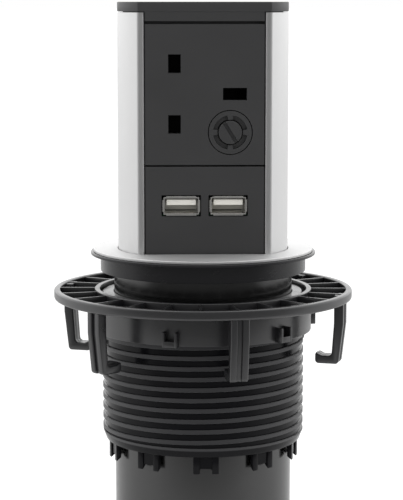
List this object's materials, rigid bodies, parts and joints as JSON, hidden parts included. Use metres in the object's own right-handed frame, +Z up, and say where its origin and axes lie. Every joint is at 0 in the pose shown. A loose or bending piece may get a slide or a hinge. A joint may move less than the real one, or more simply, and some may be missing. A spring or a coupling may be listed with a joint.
{
  "type": "in-desk power module",
  "caption": "Pull-up desk power tower with mains socket, fuse carrier and USB ports, in a threaded round housing with trim ring and hooked clamp nut.",
  "frame": {"origin": "centre of the underside of the housing's end cap, on the axis of the tower and housing", "axes": "+Z up along the axis, -Y towards the viewer of the socket front, +X to the right as seen from the front"},
  "size_m": [0.1138, 0.1138, 0.2378],
  "materials": {
    "shell_metal": "satin anodised silver, with fine lines along the extrusion",
    "trim_metal": "satin silver, with a bright turned edge",
    "fascia_plastic": "fine-textured charcoal",
    "housing_plastic": "semi-gloss black",
    "tube_plastic": "glossy dark grey",
    "shutter_plastic": "matte black",
    "ring_rubber": "soft matte black",
    "port_steel": "bright plated sheet",
    "port_insulator": "moulded ivory grey",
    "board_laminate": "green solder mask",
    "core_ferrite": "dark grey ferrite and tape",
    "capacitor_sleeve": "shrunk black film",
    "contact_brass": "plain formed strip",
    "fuse_ceramic": "glazed off-white with plated ends"
  },
  "bodies": {
    "housing": {"end_cap": "housing_plastic", "housing_tube": "tube_plastic", "collar": "housing_plastic", "trim_ring": "trim_metal", "threaded_sleeve": "housing_plastic"},
    "nut": {"clamp_nut": "housing_plastic"},
    "tower": {"tower_shell": "shell_metal", "top_cap": "fascia_plastic", "socket_plate": "fascia_plastic", "usb_plate": "fascia_plastic", "socket_body": "housing_plastic", "fuse_holder": "fascia_plastic", "tower_foot": "housing_plastic", "friction_ring": "ring_rubber", "cable_gland": "housing_plastic", "charger_board": "board_laminate", "transformer_core": "core_ferrite", "capacitor_left": "capacitor_sleeve", "capacitor_right": "capacitor_sleeve", "usb_can_left": "port_steel", "usb_can_right": "port_steel", "usb_insulator_left": "port_insulator", "usb_insulator_right": "port_insulator", "live_contact": "contact_brass", "neutral_contact": "contact_brass", "earth_contact": "contact_brass"},
    "shutter": {"safety_shutter": "shutter_plastic"},
    "fuse_carrier": {"fuse_carrier": "fascia_plastic", "fuse_link": "fuse_ceramic"}
  },
  "joints": [
    {"name": "tower_slide", "type": "slide", "parent": "housing", "child": "tower", "axis": [0, 0, 1], "range_m": [-0.0892, 0]},
    {"name": "nut_travel", "type": "slide", "parent": "housing", "child": "nut", "axis": [0, 0, 1], "range_m": [-0.039, 0.006]},
    {"name": "shutter_slide", "type": "slide", "parent": "tower", "child": "shutter", "axis": [-1, 0, 0], "range_m": [0, 0.0066], "stiffness_N_per_m": 80, "springref_m": -0.004},
    {"name": "fuse_turn", "type": "hinge", "parent": "tower", "child": "fuse_carrier", "pos_m": [0.0094, -0.02075, 0.1901], "axis": [0, 1, 0], "range_deg": [-60, 0]}
  ]
}
